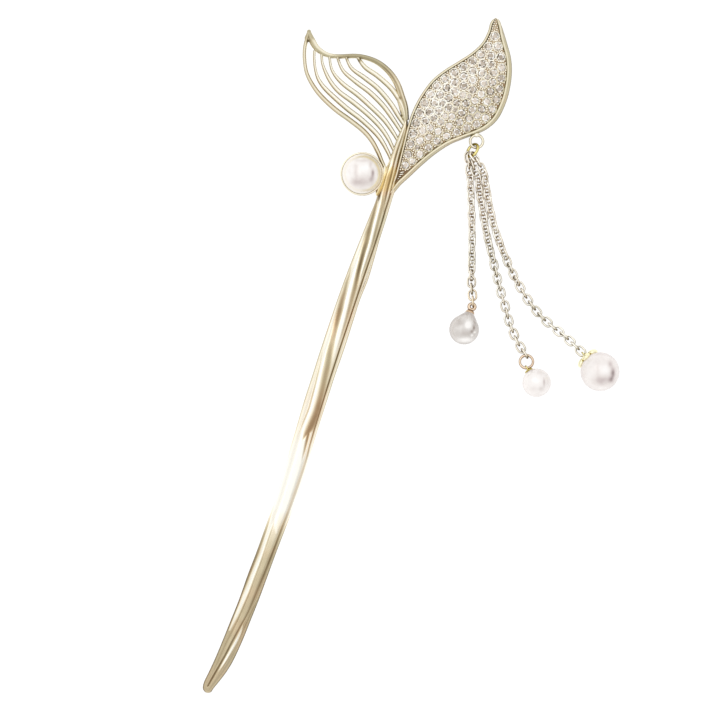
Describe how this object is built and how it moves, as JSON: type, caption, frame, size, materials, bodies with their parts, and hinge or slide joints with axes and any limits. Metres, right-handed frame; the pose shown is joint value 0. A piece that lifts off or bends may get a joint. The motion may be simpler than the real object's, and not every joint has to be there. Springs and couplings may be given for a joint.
{
  "type": "hair stick",
  "caption": "Flat cast hair stick with a fishtail head: one openwork fluke, one stone-set fluke, a pearl in a cup, and fine chains that end in pearl drops.",
  "frame": {"origin": "middle of the pearl cup's flat back, on the surface that the stick lies on", "axes": "+Y up the stick from its point to its flukes, as the picture shows it; +X towards the stone fluke and the chains; +Z out of the face"},
  "size_m": [0.1041, 0.1686, 0.0098],
  "materials": {
    "champagne_gold": "polished light champagne gold plating, darkened in its recesses",
    "chain_gold": "polished light gold plating",
    "yellow_gold": "polished yellow gold plating",
    "rose_gold": "polished rose gold plating",
    "cup_pearl": "glossy pinkish grey pearl lacquer on a glass bead",
    "drop_pearl": "glossy white pearl lacquer on a glass bead",
    "cut_stone": "faceted, foil-backed, pale lilac grey"
  },
  "bodies": {
    "root": {"cast_stick": "champagne_gold", "seat_pearl": "cup_pearl", "fluke_stones": "cut_stone", "jump_ring": "yellow_gold", "chain_short": "chain_gold", "chain_middle": "chain_gold", "chain_long": "chain_gold", "teardrop_cap": "rose_gold", "teardrop_pearl": "drop_pearl", "small_ring": "rose_gold", "small_cap": "yellow_gold", "small_pearl": "drop_pearl", "large_cap": "yellow_gold", "large_pearl": "drop_pearl"}
  },
  "joints": []
}
